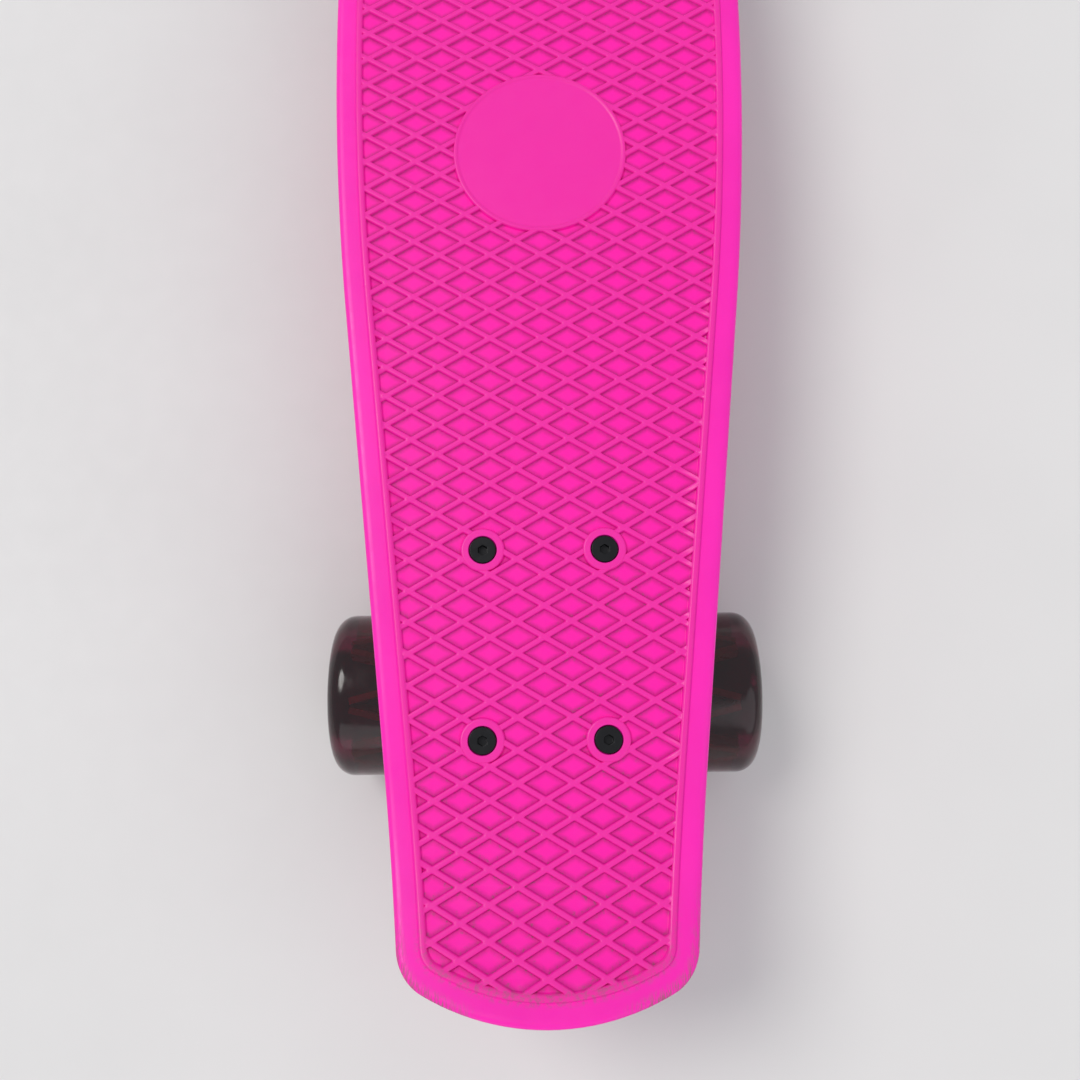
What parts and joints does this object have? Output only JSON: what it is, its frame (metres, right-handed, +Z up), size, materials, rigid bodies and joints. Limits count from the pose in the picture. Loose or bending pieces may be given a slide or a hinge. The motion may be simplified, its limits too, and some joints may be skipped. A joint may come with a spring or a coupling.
{
  "type": "skateboard",
  "caption": "Mini cruiser skateboard: moulded plastic deck with a kicktail, two steering trucks and bearing wheels with soft tyres.",
  "frame": {"origin": "on the ground under the middle of the board's length and width", "axes": "+X towards the nose, +Y towards the left wheels, +Z up; the wheels turn about Y"},
  "size_m": [0.559, 0.154, 0.0943],
  "materials": {
    "deck": "satin moulded polypropylene, hot pink",
    "black_steel": "black oxide",
    "zinc_steel": "zinc plated",
    "dark_steel": "plain hardened steel",
    "axle_steel": "ground steel",
    "bearing_steel": "ground and polished",
    "bearing_shield": "black rubber shield",
    "machined_aluminium": "machined",
    "cast_truck": "tumbled die casting",
    "pivot_plastic": "moulded",
    "bushing": "cast urethane",
    "tyre": "smoky see-through urethane",
    "core": "deep red moulded core"
  },
  "bodies": {
    "board": {"deck": "deck", "deck_bolts": "black_steel", "deck_nuts": "zinc_steel", "front_baseplate": "cast_truck", "front_pivot_cup": "pivot_plastic", "front_kingpin": "dark_steel", "front_board_washer": "zinc_steel", "front_board_bushing": "bushing", "front_road_bushing": "bushing", "front_road_washer": "zinc_steel", "front_kingpin_nut": "zinc_steel", "rear_baseplate": "cast_truck", "rear_pivot_cup": "pivot_plastic", "rear_kingpin": "dark_steel", "rear_board_washer": "zinc_steel", "rear_board_bushing": "bushing", "rear_road_bushing": "bushing", "rear_road_washer": "zinc_steel", "rear_kingpin_nut": "zinc_steel"},
    "front_hanger": {"front_hanger": "cast_truck", "front_axle": "axle_steel", "front_axle_nuts": "zinc_steel", "front_left_inner_races": "bearing_steel", "front_left_spacer": "machined_aluminium", "front_left_speed_rings": "zinc_steel", "front_right_inner_races": "bearing_steel", "front_right_spacer": "machined_aluminium", "front_right_speed_rings": "zinc_steel"},
    "front_left_wheel": {"front_left_tyre": "tyre", "front_left_core": "core", "front_left_outer_races": "bearing_steel", "front_left_shields": "bearing_shield"},
    "front_left_cages": {"front_left_balls": "bearing_steel"},
    "front_right_wheel": {"front_right_tyre": "tyre", "front_right_core": "core", "front_right_outer_races": "bearing_steel", "front_right_shields": "bearing_shield"},
    "front_right_cages": {"front_right_balls": "bearing_steel"},
    "rear_hanger": {"rear_hanger": "cast_truck", "rear_axle": "axle_steel", "rear_axle_nuts": "zinc_steel", "rear_left_inner_races": "bearing_steel", "rear_left_spacer": "machined_aluminium", "rear_left_speed_rings": "zinc_steel", "rear_right_inner_races": "bearing_steel", "rear_right_spacer": "machined_aluminium", "rear_right_speed_rings": "zinc_steel"},
    "rear_left_wheel": {"rear_left_tyre": "tyre", "rear_left_core": "core", "rear_left_outer_races": "bearing_steel", "rear_left_shields": "bearing_shield"},
    "rear_left_cages": {"rear_left_balls": "bearing_steel"},
    "rear_right_wheel": {"rear_right_tyre": "tyre", "rear_right_core": "core", "rear_right_outer_races": "bearing_steel", "rear_right_shields": "bearing_shield"},
    "rear_right_cages": {"rear_right_balls": "bearing_steel"}
  },
  "joints": [
    {"name": "front_steer", "type": "hinge", "parent": "board", "child": "front_hanger", "pos_m": [0.1931, 0, 0.04292], "axis": [0.885, 0, 0.4657], "range_deg": [-10, 10], "stiffness_Nm_per_rad": 40, "deforming": ["front_board_bushing", "front_road_bushing"]},
    {"name": "front_left_spin", "type": "hinge", "parent": "front_hanger", "child": "front_left_wheel", "pos_m": [0.2115, 0.0545, 0.0295], "axis": [0, 1, 0], "continuous": true},
    {"name": "front_left_cage_spin", "type": "hinge", "parent": "front_hanger", "child": "front_left_cages", "pos_m": [0.2115, 0.0545, 0.0295], "axis": [0, 1, 0], "continuous": true},
    {"name": "front_right_spin", "type": "hinge", "parent": "front_hanger", "child": "front_right_wheel", "pos_m": [0.2115, -0.0545, 0.0295], "axis": [0, 1, 0], "continuous": true},
    {"name": "front_right_cage_spin", "type": "hinge", "parent": "front_hanger", "child": "front_right_cages", "pos_m": [0.2115, -0.0545, 0.0295], "axis": [0, 1, 0], "continuous": true},
    {"name": "rear_steer", "type": "hinge", "parent": "board", "child": "rear_hanger", "pos_m": [-0.1566, 0, 0.04292], "axis": [-0.885, 0, 0.4657], "range_deg": [-10, 10], "stiffness_Nm_per_rad": 40, "deforming": ["rear_board_bushing", "rear_road_bushing"]},
    {"name": "rear_left_spin", "type": "hinge", "parent": "rear_hanger", "child": "rear_left_wheel", "pos_m": [-0.175, 0.0545, 0.0295], "axis": [0, 1, 0], "continuous": true},
    {"name": "rear_left_cage_spin", "type": "hinge", "parent": "rear_hanger", "child": "rear_left_cages", "pos_m": [-0.175, 0.0545, 0.0295], "axis": [0, 1, 0], "continuous": true},
    {"name": "rear_right_spin", "type": "hinge", "parent": "rear_hanger", "child": "rear_right_wheel", "pos_m": [-0.175, -0.0545, 0.0295], "axis": [0, 1, 0], "continuous": true},
    {"name": "rear_right_cage_spin", "type": "hinge", "parent": "rear_hanger", "child": "rear_right_cages", "pos_m": [-0.175, -0.0545, 0.0295], "axis": [0, 1, 0], "continuous": true}
  ],
  "couplings": [
    {"joint": "front_left_cage_spin", "follows": "front_left_spin", "ratio": 0.6323},
    {"joint": "front_right_cage_spin", "follows": "front_right_spin", "ratio": 0.6323},
    {"joint": "rear_left_cage_spin", "follows": "rear_left_spin", "ratio": 0.6323},
    {"joint": "rear_right_cage_spin", "follows": "rear_right_spin", "ratio": 0.6323}
  ]
}
